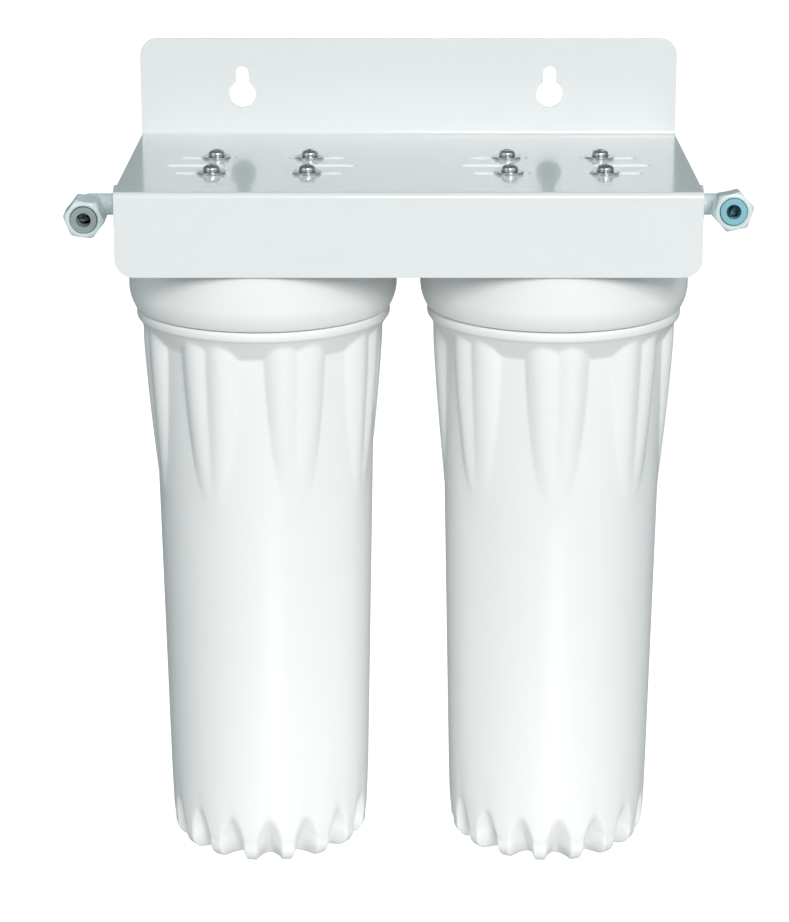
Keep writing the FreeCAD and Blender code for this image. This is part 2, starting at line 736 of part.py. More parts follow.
def link_nipple():
    """Hexagon between the heads with a threaded end into each port."""
    half = LINK_GAP / 2
    collar = half - SEAL_THICKNESS
    radius = NIPPLE_HEX / math.sqrt(3)
    corners = []
    for degrees in range(0, 361, 60):
        angle = math.radians(degrees)
        corners.append(point(-collar, radius * math.cos(angle), radius * math.sin(angle)))
    hexagon = Part.Face(Part.makePolygon(corners)).extrude(X_AXIS * (2 * collar))
    reach = X_AXIS * (half + THREAD_LENGTH)
    thread = rod(THREAD_RADIUS, reach * -1, reach)
    return hexagon.fuse(thread).cut(rod(NIPPLE_BORE, reach * -1, reach))


def link_seals():
    half = LINK_GAP / 2
    washers = []
    for low in (-half, half - SEAL_THICKNESS):
        washer = tube(SEAL_RADIUS, SEAL_BORE, low, low + SEAL_THICKNESS)
        washer.rotate(ORIGIN, Y_AXIS, 90)
        washers.append(washer)
    return Part.makeCompound(washers)


def at_housing(shape, side):
    """Put a housing piece under the shelf, on the left or right axis."""
    shape.translate(point(side * HOUSING_PITCH / 2, -AXIS_TO_WALL, SHELF_UNDER))
    return shape


def at_port(shape, side, tilt):
    """Put a fitting on the outer port of the left or right head."""
    if side > 0:
        shape = shape.mirror(ORIGIN, X_AXIS)
    shape.rotate(ORIGIN, X_AXIS, tilt)
    shape.translate(
        point(side * (PORT_FACE + FITTING_REACH), -AXIS_TO_WALL, SHELF_UNDER - PORT_DROP)
    )
    return shape


def save(name, shape):
    shape.exportStep("parts/" + name + ".step")


def main():
    os.makedirs("parts", exist_ok=True)
    save("bracket", bracket())
    for name, side in (("left", -1), ("right", 1)):
        save(name + "_head", at_housing(head(), side))
        save(name + "_head_screws", at_housing(head_screws(), side))
        save(name + "_head_washers", at_housing(head_washers(), side))
        save(name + "_sump", at_housing(sump(name), side))
        save(name + "_sump_oring", at_housing(sump_oring(), side))
    save("sediment_element", at_housing(sediment_element(), -1))
    save("sediment_core", at_housing(sediment_core(), -1))
    save("carbon_block", at_housing(carbon_block(), 1))
    save("carbon_wrap", at_housing(carbon_wrap(), 1))
    save("carbon_net", at_housing(carbon_net(), 1))
    save("carbon_foot_cap", at_housing(carbon_cap(), 1))
    save("carbon_foot_gasket", at_housing(carbon_gasket(), 1))
    save("carbon_head_cap", at_housing(upended(carbon_cap()), 1))
    save("carbon_head_gasket", at_housing(upended(carbon_gasket()), 1))
    for name, side in (("inlet", -1), ("outlet", 1)):
        tilt = FITTING_TILT[name]
        save(name + "_elbow", at_port(elbow(), side, tilt))
        save(name + "_port_seal", at_port(port_seal(), side, tilt))
        save(name + "_tube_ring", at_port(tube_ring(), side, tilt))
        save(name + "_tube_nut", at_port(tube_nut(NUT_TURN[name]), side, tilt))
    link = point(0, -AXIS_TO_WALL, SHELF_UNDER - PORT_DROP)
    for name, shape in (("link_nipple", link_nipple()), ("link_seals", link_seals())):
        shape.translate(link)
        save(name, shape)


main()
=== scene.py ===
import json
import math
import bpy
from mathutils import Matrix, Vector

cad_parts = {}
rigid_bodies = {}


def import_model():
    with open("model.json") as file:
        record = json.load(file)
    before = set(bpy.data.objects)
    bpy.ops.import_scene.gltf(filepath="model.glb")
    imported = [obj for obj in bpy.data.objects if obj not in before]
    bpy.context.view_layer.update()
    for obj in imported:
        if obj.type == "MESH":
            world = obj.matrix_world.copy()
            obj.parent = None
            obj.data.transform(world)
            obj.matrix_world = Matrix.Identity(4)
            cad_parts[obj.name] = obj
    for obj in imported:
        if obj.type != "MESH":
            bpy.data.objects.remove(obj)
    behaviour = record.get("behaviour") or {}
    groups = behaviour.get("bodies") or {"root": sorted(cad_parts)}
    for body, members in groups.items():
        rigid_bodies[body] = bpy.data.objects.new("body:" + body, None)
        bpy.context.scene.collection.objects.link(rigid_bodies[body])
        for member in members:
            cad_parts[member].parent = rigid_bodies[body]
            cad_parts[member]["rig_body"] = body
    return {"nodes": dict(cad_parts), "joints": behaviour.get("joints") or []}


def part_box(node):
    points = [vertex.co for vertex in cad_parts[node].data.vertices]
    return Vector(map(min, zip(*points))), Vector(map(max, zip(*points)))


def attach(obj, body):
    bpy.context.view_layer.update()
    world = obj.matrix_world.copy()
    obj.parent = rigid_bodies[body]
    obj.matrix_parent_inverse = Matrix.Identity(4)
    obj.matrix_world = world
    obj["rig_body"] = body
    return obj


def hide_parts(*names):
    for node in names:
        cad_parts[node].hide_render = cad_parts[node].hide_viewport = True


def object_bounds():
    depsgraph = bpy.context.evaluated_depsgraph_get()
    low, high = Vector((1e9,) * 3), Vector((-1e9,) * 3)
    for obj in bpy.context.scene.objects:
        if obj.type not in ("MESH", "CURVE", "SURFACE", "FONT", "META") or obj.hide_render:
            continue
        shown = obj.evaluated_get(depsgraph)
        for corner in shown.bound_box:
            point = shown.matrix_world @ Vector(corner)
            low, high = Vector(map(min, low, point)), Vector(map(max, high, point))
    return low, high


bl_info = {
    "name": "Two-stage water filter",
    "version": (1, 0, 0),
    "blender": (4, 5, 0),
    "location": "View3D > Sidebar > Water Filter",
    "description": "Looks for a wall-hung water filter with two screw-down housings",
    "category": "Object",
}

from typing import NamedTuple

import bmesh
import bpy
from bpy.props import FloatProperty, FloatVectorProperty, IntProperty, PointerProperty
from bpy.types import Operator, Panel, PropertyGroup
from mathutils import Matrix, Vector

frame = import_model()
CAD_BOX = [list(corner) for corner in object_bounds()]

HOUSINGS = ("left", "right")
CREASE = math.radians(35)  # a piece's edges that turn more stay sharp
RIM = math.radians(40)  # a CAD piece's edges that turn more may be a rim
FLAT = math.radians(0.5)  # a CAD piece's faces that turn less are joined
WELD = 0.000002  # a CAD piece's points that lie closer are joined
SEAM = 0.00001  # a swept grid's points that lie closer are joined
NECK_THREAD_SEGMENTS = 420
SCREW_THREAD_SEGMENTS = 260
SCREW_THREAD_SHARES = (0.62, 0.12)  # widths at foot and crest, as shares of the pitch
SCREW_SEGMENTS = 40
SCREW_TURN = 1.9  # radians from one screw's cross to the next one's
NUT_SEGMENTS = 216
NUT_EDGE_SOFT = 0.0001
THREAD_RUN_OUT = 24.0  # how quickly a thread rises at its ends
NET_POINTS = 64
CAMERA_SHIFT = (-0.0152, -0.0187)
LIGHT_TINT = (1.0, 0.985, 0.975)
SKY_TINT = (0.75, 1.0, 1.04, 1.0)
SKY_STRENGTH = 0.22


def setting(make, **limits):
    """A maker of one kind of setting, from its description and default."""
    def made(description, default):
        return make(description=description, default=default, **limits)
    return made


length = setting(FloatProperty, min=0.0, precision=5, subtype="DISTANCE", unit="LENGTH")
share = setting(FloatProperty, min=0.0, max=1.0, subtype="FACTOR")
number = setting(FloatProperty, min=0.0)
count = setting(IntProperty, min=3)
colour = setting(FloatVectorProperty, min=0.0, max=1.0, size=3, subtype="COLOR")


def turn(description, degrees):
    angle = setting(FloatProperty, subtype="ANGLE", unit="ROTATION")
    return angle(description, math.radians(degrees))


class SumpSizes(PropertyGroup):
    """Sizes of the screw-down bowls."""

    neck_root: length("Radius of the neck between its threads", 0.0507)
    neck_crest: length("Radius over the threads", 0.052)
    neck_inner: length("Inside radius of the neck", 0.0468)
    thread_pitch: length("Rise of the thread in one turn", 0.0045)
    thread_turns: number("How often the thread goes round the neck", 3.4)
    thread_foot: length("Width of the thread at the neck", 0.0026)
    thread_tip: length("Width of the thread at its crest", 0.0012)
    thread_sunk: length("How far the thread's foot lies in the neck", 0.0002)
    thread_start: length("From the bead up to the thread", 0.0024)
    gland_drop: length("From the neck's top to the O-ring groove", 0.002)
    gland_width: length("Width of the O-ring groove", 0.0036)
    gland_root: length("Radius at the bottom of the O-ring groove", 0.0494)
    collar_drop: length("From the neck's top to the bead", 0.0272)
    bead_radius: length("Largest radius of the bead", 0.0571)
    bead_edge: length("Radius at the bead's top and foot", 0.0563)
    bead_height: length("Height of the bead", 0.0044)
    shoulder_height: length("Height of the cone under the bead", 0.0093)
    body_top: length("Radius under the shoulder", 0.0502)
    body_foot: length("Radius at the foot, after draft", 0.0458)
    wall: length("Thickness of the side wall", 0.0034)
    floor: length("Thickness of the floor", 0.005)
    foot_corner: length("Radius of the rounded foot", 0.008)
    bowl_corner: length("Radius of the rounded floor inside", 0.02)
    foot_rise: length("How far the floor's middle stands off", 0.0032)
    foot_inner: length("Radius of the hollow under the floor", 0.024)
    spigot_radius: length("Radius of the cartridge's seat", 0.017)
    spigot_height: length("Height of the cartridge's seat", 0.006)
    pilot_radius: length("Radius of the cartridge's guide", 0.0125)
    pilot_length: length("Length of the cartridge's guide", 0.008)
    segments: count("Faces round the bowl", 560)


class GripSizes(PropertyGroup):
    """Sizes of the moulded grips and of the flutes round the foot."""

    leaves: count("Leaf grips round the bowl", 8)
    leaf_half: length("Half the width of a leaf at its top", 0.0129)
    leaf_length: length("Length of a leaf below the shoulder", 0.068)
    leaf_height: length("How far a leaf stands out at its top", 0.004)
    narrowing: number("How late a leaf starts to narrow", 1.3)
    width_power: share("How quickly a leaf narrows", 0.42)
    height_power: share("How quickly a leaf sinks", 0.95)
    lobe_share: share("Lobe centre as a share of the half width", 0.42)
    leaf_soft: length("Softness where a leaf meets the wall", 0.0005)
    groove_soft: turn("Softness of the groove between a leaf's lobes", 1.3)
    flutes: count("Flutes round the foot", 16)
    flute_radius: length("Half the width of a flute", 0.0062)
    flute_rise: length("How high up the wall a flute reaches", 0.0225)
    flute_inset: length("How far in under the foot a flute reaches", 0.015)
    flute_soft: length("Softness of the flutes' edges", 0.0016)
    flute_turn: turn("From the leaves round to the flutes", 5.5)
    left_turn: turn("How far the left bowl is turned when it is tight", 18.6)
    right_turn: turn("How far the right bowl is turned when it is tight", -0.6)


class ScrewSizes(PropertyGroup):
    """Sizes of the pan-head screws over the heads."""

    head_radius: length("Radius of the screw's head", 0.00375)
    crown: length("Radius of the flat on top", 0.0014)
    head_height: length("Height of the screw's head", 0.0028)
    head_edge: length("Height of the head's straight side", 0.0009)
    shank_root: length("Radius between the threads", 0.0015)
    shank_crest: length("Radius over the threads", 0.00205)
    pitch: length("Rise of the thread in one turn", 0.0014)
    thread_sunk: length("How far the thread's foot lies in the shank", 0.0001)
    plain: length("Length of the shank without thread", 0.004)
    point: length("From the screw's tip up to the thread", 0.0028)
    recess: length("Half width of an arm of the cross", 0.0004)
    recess_reach: length("Length of an arm of the cross", 0.002)
    recess_depth: length("Depth of the cross", 0.0016)


class NutSizes(PropertyGroup):
    """Sizes of the hand nuts on the elbows."""

    points: count("Points round a nut", 6)
    corner: length("Radius over the points", 0.0097)
    hollow: length("Radius in the middle of a side", 0.008)
    point_round: length("How far the points are rounded off", 0.0004)
    length: length("Length along the axis", 0.013)
    lip: length("Thickness of the lip over the ring", 0.0025)
    bore: length("Radius of the threaded bore", 0.0068)
    lip_bore: length("Radius of the hole for the ring", 0.0061)
    edge: length("Size of the rounded edges", 0.0004)
    inlet_turn: turn("How far the inlet nut is turned", 52.0)
    outlet_turn: turn("How far the outlet nut is turned", 12.0)


class NetSizes(PropertyGroup):
    """Sizes of the net round the carbon cartridge."""

    strands: count("Strands each way", 40)
    strand: length("Half the thickness of a strand", 0.00045)
    turns: number("How often a strand goes round the cartridge", 1.2)


class Finishes(PropertyGroup):
    """Colours of the materials."""

    enamel: colour("Powder coat of the bracket", (0.8, 0.815, 0.815))
    shell: colour("White plastic of heads and sumps", (0.9, 0.9, 0.895))
    fitting: colour("Milky plastic of elbows, nuts and nipple", (0.72, 0.82, 0.83))
    grey_ring: colour("Ring in the inlet nut", (0.31, 0.38, 0.38))
    blue_ring: colour("Ring in the outlet nut", (0.26, 0.54, 0.63))
    zinc: colour("Plating of screws and washers", (0.55, 0.56, 0.57))
    rubber: colour("Seals", (0.02, 0.02, 0.022))
    fibre: colour("Blown fibre of the first cartridge", (0.86, 0.86, 0.83))
    carbon: colour("Carbon block", (0.012, 0.012, 0.014))
    wrap: colour("Non-woven wrap of the carbon cartridge", (0.82, 0.83, 0.82))
    net: colour("Net and core of the cartridges", (0.8, 0.82, 0.84))
    cap: colour("End caps of the carbon cartridge", (0.8, 0.83, 0.86))


class StageSettings(PropertyGroup):
    """Camera, floor and lights."""

    lens: length("Focal length", 0.11063)
    camera_distance: length("From the wall to the camera", 1.3261)
    camera_height: length("Above the keyholes", 0.2207)
    camera_pitch: turn("How far the camera looks down", 16.49)
    floor_drop: length("From the sumps' feet down to the floor", 0.35)
    floor_size: length("Side of the floor", 24.0)
    floor_tint: colour("Colour of the floor", (0.65, 0.65, 0.65))
    floor_glow: number("How far the floor is lifted to white", 1.0)


GROUPS = {
    "filter_sump": SumpSizes,
    "filter_grip": GripSizes,
    "filter_screw": ScrewSizes,
    "filter_nut": NutSizes,
    "filter_net": NetSizes,
    "filter_finish": Finishes,
    "filter_stage": StageSettings,
}


class Tree:
    """Places nodes in a node tree and links them."""

    def __init__(self, tree):
        self.tree = tree

    def add(self, kind, inputs=None, **settings):
        node = self.tree.nodes.new(kind)
        for key, value in settings.items():
            setattr(node, key, value)
        for key, value in (inputs or {}).items():
            self.plug(node.inputs[key], value)
        return node

    def plug(self, socket, value):
        if isinstance(value, Term):
            value = value.socket
        if isinstance(value, bpy.types.NodeSocket):
            self.tree.links.new(value, socket)
        else:
            socket.default_value = value

    def maths(self, operation, *values):
        node = self.add("ShaderNodeMath", operation=operation)
        for socket, value in zip(node.inputs, values):
            self.plug(socket, value)
        return Term(self, node.outputs[0])

    def combine(self, x, y, z):
        return self.add("ShaderNodeCombineXYZ", {0: x, 1: y, 2: z}).outputs[0]

    def apart(self, vector):
        """The three numbers of a vector."""
        node = self.add("ShaderNodeSeparateXYZ", {0: vector})
        return [Term(self, socket) for socket in node.outputs]

    def position(self):
        """The place of each point, as three numbers."""
        return self.apart(self.add("GeometryNodeInputPosition").outputs[0])

    def switch(self, condition, when_off, when_on):
        """A number that is one of two values, by a 0 or 1 field."""
        return when_off + (when_on - when_off) * condition


def two_way(operation, swapped=False):
    """An operator of Term; swapped is for a number on the left of the term."""
    def act(self, other):
        pair = (other, self) if swapped else (self, other)
        return self.tree.maths(operation, *pair)
    return act


class Term:
    """A number in a node tree that takes + - * / and **."""

    def __init__(self, tree, socket):
        self.tree = tree
        self.socket = socket

    __add__, __radd__ = two_way("ADD"), two_way("ADD", True)
    __sub__, __rsub__ = two_way("SUBTRACT"), two_way("SUBTRACT", True)
    __truediv__, __rtruediv__ = two_way("DIVIDE"), two_way("DIVIDE", True)
    __mul__, __pow__ = two_way("MULTIPLY"), two_way("POWER")

    def sine(self):
        return self.tree.maths("SINE", self)

    def cosine(self):
        return self.tree.maths("COSINE", self)

    def root(self):
        return self.tree.maths("SQRT", self.at_least(0.0))

    def at_least(self, other):
        return self.tree.maths("MAXIMUM", self, other)

    def at_most(self, other):
        return self.tree.maths("MINIMUM", self, other)

    def wrapped(self, step):
        """The distance to the nearest multiple of step, with its sign."""
        return self.tree.maths("FLOORED_MODULO", self + step * 0.5, step) - step * 0.5

    def soft_most(self, other, softness):
        """The larger of two numbers, rounded where they cross."""
        gap = self - other
        return (self + other + (gap * gap + softness * softness).root()) * 0.5

    def soft_least(self, other, softness):
        """The smaller of two numbers, rounded where they cross."""
        gap = self - other
        return (self + other - (gap * gap + softness * softness).root()) * 0.5


INPUT_KINDS = {"Segments": "Int", "Strands": "Int", "Material": "Material"}


def geometry_tree(name, inputs):
    """A Geometry Nodes tree with named inputs; returns it with its input terms."""
    group = bpy.data.node_groups.new(name, "GeometryNodeTree")
    for way in ("INPUT", "OUTPUT"):
        group.interface.new_socket("Geometry", in_out=way, socket_type="NodeSocketGeometry")
    for key in inputs:
        kind = "NodeSocket" + INPUT_KINDS.get(key, "Float")
        group.interface.new_socket(key, in_out="INPUT", socket_type=kind)
    tree = Tree(group)
    entry = tree.add("NodeGroupInput")
    terms = {key: Term(tree, entry.outputs[key]) for key in inputs}
    return tree, entry.outputs["Geometry"], terms


def end_tree(tree, geometry, material):
    """Realize Instances and Set Material at the end of a tree."""
    real = tree.add("GeometryNodeRealizeInstances", {"Geometry": geometry})
    finished = tree.add(
        "GeometryNodeSetMaterial", {"Geometry": real.outputs[0], "Material": material}
    )
    tree.add("NodeGroupOutput", {"Geometry": finished.outputs[0]})


def grown(name, tree, values, base=None):
    """A piece with the plain mesh that a tree makes from these values."""
    mesh = base or bpy.data.meshes.new(name + "_base")
    holder = bpy.data.objects.new(name + "_base", mesh)
    bpy.context.scene.collection.objects.link(holder)
    modifier = holder.modifiers.new("Shape", "NODES")
    modifier.node_group = tree.tree
    for item in tree.tree.interface.items_tree:
        if item.item_type == "SOCKET" and item.in_out == "INPUT" and item.name in values:
            modifier[item.identifier] = values[item.name]
    graph = bpy.context.evaluated_depsgraph_get()
    made = bpy.data.meshes.new_from_object(holder.evaluated_get(graph), depsgraph=graph)
    bpy.data.objects.remove(holder)
    return as_piece(name, made)


def taken(settings, *names):
    """The tree inputs that have the names of settings."""
    return {name: getattr(settings, name.lower().replace(" ", "_")) for name in names}


def as_piece(name, mesh):
    """A shaded object in the scene from a mesh."""
    mesh.name = name
    mesh.shade_smooth()
    mesh.set_sharp_from_angle(angle=CREASE)
    piece = bpy.data.objects.new(name, mesh)
    bpy.context.scene.collection.objects.link(piece)
    return piece


def as_stand_in(piece, node):
    """The piece takes the place of a CAD node, with its body."""
    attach(piece, frame["nodes"][node]["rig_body"])
    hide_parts(node)


def profile_mesh(name, points):
    """A line of points as a mesh to sweep: radius, height and, where not 0, grip and flute."""
    mesh = bpy.data.meshes.new(name)
    rows = [(row[0], 0.0, row[1]) for row in points]
    mesh.from_pydata(rows, [(i, i + 1) for i in range(len(rows) - 1)], [])
    for key, column in (("grip", 2), ("flute", 3)):
        layer = mesh.attributes.new(key, "FLOAT", "POINT")
        for index, row in enumerate(points):
            layer.data[index].value = (*row, 0.0, 0.0)[column]
    return mesh


def spaced(start, end, step):
    """Evenly spaced (radius, height) points from start towards end, without the end."""
    count = max(1, round(math.dist(start, end) / step))
    return [
        (start[0] + (end[0] - start[0]) * i / count, start[1] + (end[1] - start[1]) * i / count)
        for i in range(count)
    ]


def arc(centre, radius, first, last, count):
    points = []
    for i in range(count + 1):
        angle = math.radians(first + (last - first) * i / count)
        points.append((centre[0] + radius * math.cos(angle), centre[1] + radius * math.sin(angle)))
    return points


def sump_profile(s, grip, height):
    """The bowl's section from its middle inside, over the neck, to its middle under the foot."""
    edge = 0.0006
    bead_steps, bowl_steps, foot_steps = 8, 12, 20
    cone_step, leaf_step, plain_step, flute_step, rim_step = 0.0009, 0.0011, 0.012, 0.0007, 0.0012
    below_leaves, above_flutes, beside_rim = 0.002, 0.003, 0.001
    foot = -height
    collar = -s.collar_drop
    shoulder = collar - s.bead_height
    body = shoulder - s.shoulder_height
    floor_under = foot + s.foot_rise
    floor = floor_under + s.floor
    seat = floor + s.spigot_height
    pilot = seat + s.pilot_length

    def wall(z):
        """A point on the drafted side wall."""
        return s.body_top + (body - z) / (body - foot) * (s.body_foot - s.body_top), z

    inner_foot = wall(floor)[0] - s.wall
    bowl = s.bowl_corner
    inside = [(0.0, pilot), (s.pilot_radius - edge, pilot), (s.pilot_radius, pilot - edge)]
    inside += [(s.pilot_radius, seat), (s.spigot_radius - edge, seat)]
    inside += [(s.spigot_radius, seat - edge), (s.spigot_radius, floor)]
    inside += arc((inner_foot - bowl, floor + bowl), bowl, -90, 0, bowl_steps)
    inside += [(s.body_top - s.wall, body), (s.neck_inner, collar), (s.neck_inner, -edge)]
    gland = -s.gland_drop
    gland_foot = gland - s.gland_width
    neck = [(s.neck_inner + edge, 0.0), (s.neck_root - edge, 0.0), (s.neck_root, -edge)]
    neck += [(s.neck_root, gland + edge / 2), (s.neck_crest, gland), (s.gland_root, gland)]
    neck += [(s.gland_root, gland_foot), (s.neck_crest, gland_foot)]
    neck += [(s.neck_crest, gland_foot - edge), (s.neck_root, gland_foot - 2 * edge)]
    neck += [(s.neck_root, collar + edge), (s.neck_root + edge, collar)]
    bulge, half_bead = s.bead_radius - s.bead_edge, s.bead_height / 2
    bead = [(s.bead_edge - edge, collar)]
    for i in range(bead_steps + 1):
        angle = math.radians(-90 + 180 * i / bead_steps)
        bead.append((
            s.bead_edge + bulge * math.cos(angle), collar - half_bead - half_bead * math.sin(angle),
        ))
    leaf_end = wall(body - grip.leaf_length - below_leaves)
    flute_top = wall(foot + grip.flute_rise + above_flutes)
    corner_top = wall(foot + s.foot_corner)
    corner = corner_top[0] - s.foot_corner
    hollow = s.foot_inner + s.foot_rise
    cone = spaced((s.bead_edge, shoulder), wall(body), cone_step)[1:]
    leaves = spaced(wall(body), leaf_end, leaf_step)
    plain = spaced(leaf_end, flute_top, plain_step)
    fluted = spaced(flute_top, corner_top, flute_step)
    fluted += arc((corner, corner_top[1]), s.foot_corner, 0, -90, foot_steps)
    fluted += spaced((corner, foot), (hollow + beside_rim, foot), rim_step)[1:]
    under = [(hollow, foot), (s.foot_inner, floor_under), (0.0, floor_under)]
    gripped = [(*spot, 1.0) for spot in cone + leaves]
    fluted = [(*spot, 0.0, 1.0) for spot in fluted]
    return inside + neck + bead + gripped + plain + fluted + under, body, foot


SUMP_INPUTS = (
    "Segments", "Body top", "Body foot", "Top height", "Foot height", "Leaf count", "Leaf turn",
    "Leaf half", "Leaf length", "Leaf height", "Narrowing", "Width power", "Height power",
    "Lobe share", "Leaf soft", "Groove soft", "Flute count", "Flute turn", "Flute radius",
    "Flute reach", "Flute drop", "Flute tilt", "Flute soft", "Material",
)


def leaf_radius(v, angle, z):
    """Radius of the nearest leaf's lobe at an angle and a height."""
    fall = (v["Top height"] - z) / (v["Top height"] - v["Foot height"])
    wall = v["Body top"] + (v["Body foot"] - v["Body top"]) * fall.at_least(0.0)
    station = ((v["Top height"] - z) / v["Leaf length"]).at_least(0.0).at_most(0.999)
    swell = 1.0 - station ** v["Narrowing"]
    half = v["Leaf half"] * swell ** v["Width power"]
    height = v["Leaf height"] * swell ** v["Height power"]
    offset = half * v["Lobe share"]
    reach = half - offset
    radius = (reach * reach + height * height) / (height * 2.0)
    step = math.tau / v["Leaf count"].at_least(1.0)
    aside = (angle - v["Leaf turn"]).wrapped(step)
    aside = (aside * aside + v["Groove soft"] * v["Groove soft"]).root()
    out = wall + height - radius
    along = offset * aside.sine() + out * aside.cosine()
    inner = along * along - offset * offset - out * out + radius * radius
    return along + inner.root()


def flute_depth(v, angle, radius, z):
    """How far a flute pushes the wall in, square to the flute's axis."""
    step = math.tau / v["Flute count"].at_least(1.0)
    aside = (angle - v["Flute turn"]).wrapped(step)
    across = radius * aside.sine()
    ahead = radius * aside.cosine() - v["Flute reach"]
    stand = ahead * v["Flute tilt"].cosine() - (z - v["Flute drop"]) * v["Flute tilt"].sine()
    width = v["Flute radius"]
    across = (across / width).at_least(-1.0).at_most(1.0)
    hollow = width * (across * (math.pi / 2)).cosine()
    depth = hollow * (1.0 + stand.at_least(0.0) / width) + stand.at_most(0.0)
    return depth.soft_most(0.0, v["Flute soft"])


def swept_grid(tree, section, segments):
    """A grid to wrap round Z, its angle, radius and height, and a reader of the rows' values."""
    rows = tree.add("GeometryNodeAttributeDomainSize", {"Geometry": section}).outputs["Point Count"]
    grid = tree.add(
        "GeometryNodeMeshGrid",
        {"Size X": 1.0, "Size Y": 1.0, "Vertices X": segments + 1.0, "Vertices Y": rows},
    )
    along, across, _ = tree.position()
    angle = (along + 0.5) * math.tau
    row = tree.maths("ROUND", (across + 0.5) * (Term(tree, rows) - 1.0))

    def sampled(kind, value):
        node = tree.add(
            "GeometryNodeSampleIndex", {"Geometry": section, "Index": row}, data_type=kind
        )
        tree.plug(node.inputs["Value"], value)
        return node.outputs[0]

    def column(key):
        named = tree.add("GeometryNodeInputNamedAttribute", {"Name": key}, data_type="FLOAT")
        return Term(tree, sampled("FLOAT", named.outputs[0]))

    where = tree.add("GeometryNodeInputPosition").outputs[0]
    radius, _, z = tree.apart(sampled("FLOAT_VECTOR", where))
    return grid.outputs[0], angle, radius, z, column


def wrapped_grid(tree, grid, radius, angle, z):
    """The grid moved to its place round Z, with its seam and poles closed."""
    position = tree.combine(radius * angle.cosine(), radius * angle.sine(), z)
    moved = tree.add("GeometryNodeSetPosition", {"Geometry": grid, "Position": position})
    return tree.add(
        "GeometryNodeMergeByDistance", {"Geometry": moved.outputs[0], "Distance": SEAM}
    ).outputs[0]


def lifted(tree, node, rise):
    """A node's geometry, moved up."""
    moved = tree.combine(0.0, 0.0, rise)
    inputs = {"Geometry": node.outputs[0], "Translation": moved}
    return tree.add("GeometryNodeTransform", inputs).outputs[0]


def copied(tree, points, piece, angle):
    """A copy of a piece at each point, turned round Z."""
    turned = tree.combine(0.0, 0.0, angle)
    inputs = {"Points": points.outputs[0], "Instance": piece.outputs[0], "Rotation": turned}
    return tree.add("GeometryNodeInstanceOnPoints", inputs).outputs[0]


def sump_tree():
    """Sweeps a section round Z, then raises the leaf grips and sinks the flutes."""
    tree, section, v = geometry_tree("Sump", SUMP_INPUTS)
    grid, angle, radius, z, column = swept_grid(tree, section, v["Segments"])
    raised = radius.soft_most(leaf_radius(v, angle, z), v["Leaf soft"])
    outer = tree.switch(column("grip"), radius, raised)
    sunk = flute_depth(v, angle, outer, z) * column("flute")
    flat = outer - sunk * v["Flute tilt"].cosine()
    bowl = wrapped_grid(tree, grid, flat, angle, z + sunk * v["Flute tilt"].sine())
    end_tree(tree, bowl, v["Material"])
    return tree


THREAD_INPUTS = (
    "Segments", "Root", "Crest", "Pitch", "Turns", "Foot width", "Crest width", "Material",
)


def thread_tree():
    """A ridge with sloping sides, wound up round Z and run out at both ends."""
    tree, _, v = geometry_tree("Thread", THREAD_INPUTS)
    grid = tree.add(
        "GeometryNodeMeshGrid",
        {"Size X": 1.0, "Size Y": 4.0, "Vertices X": v["Segments"], "Vertices Y": 5},
    )
    x, y, _ = tree.position()
    along = x + 0.5
    corner = tree.maths("ROUND", y + 2.0)
    crest = tree.maths("COMPARE", corner, 1.5, 0.6)
    upper = tree.maths("COMPARE", corner, 2.5, 0.6)
    ends = (along * (1.0 - along) * v["Turns"] * THREAD_RUN_OUT).at_most(1.0)
    side = upper * 2.0 - 1.0
    half = tree.switch(crest, v["Foot width"], v["Crest width"]) * 0.5
    radius = v["Root"] + (v["Crest"] - v["Root"]) * crest * ends
    angle = along * v["Turns"] * math.tau
    z = along * v["Turns"] * v["Pitch"] + side * half * ends
    end_tree(tree, wrapped_grid(tree, grid.outputs[0], radius, angle, z), v["Material"])
    return tree


NUT_INPUTS = ("Segments", "Points", "Turn", "Hollow", "Bow", "Blunt", "Soft", "Material")


def nut_tree():
    """Sweeps a nut's section round Z and draws its wall in between the points."""
    tree, section, v = geometry_tree("Tube nut", NUT_INPUTS)
    grid, angle, radius, z, column = swept_grid(tree, section, v["Segments"])
    step = math.tau / v["Points"].at_least(1.0)
    aside = (angle - v["Turn"] - step * 0.5).wrapped(step)
    swing = v["Bow"] * aside.sine()
    side = v["Bow"] - v["Hollow"]
    bowed = v["Bow"] * aside.cosine() - (side * side - swing * swing).root()
    star = bowed.soft_least(v["Blunt"], v["Soft"])
    drawn = tree.switch(column("grip"), radius, star.soft_least(radius, NUT_EDGE_SOFT))
    end_tree(tree, wrapped_grid(tree, grid, drawn, angle, z), v["Material"])
    return tree


SCREW_INPUTS = (
    "Segments", "Spread X", "Spread Y", "Arm width", "Arm length", "Arm depth", "Top", "Root",
    "Crest", "Pitch", "Turns", "Thread foot", "Material",
)


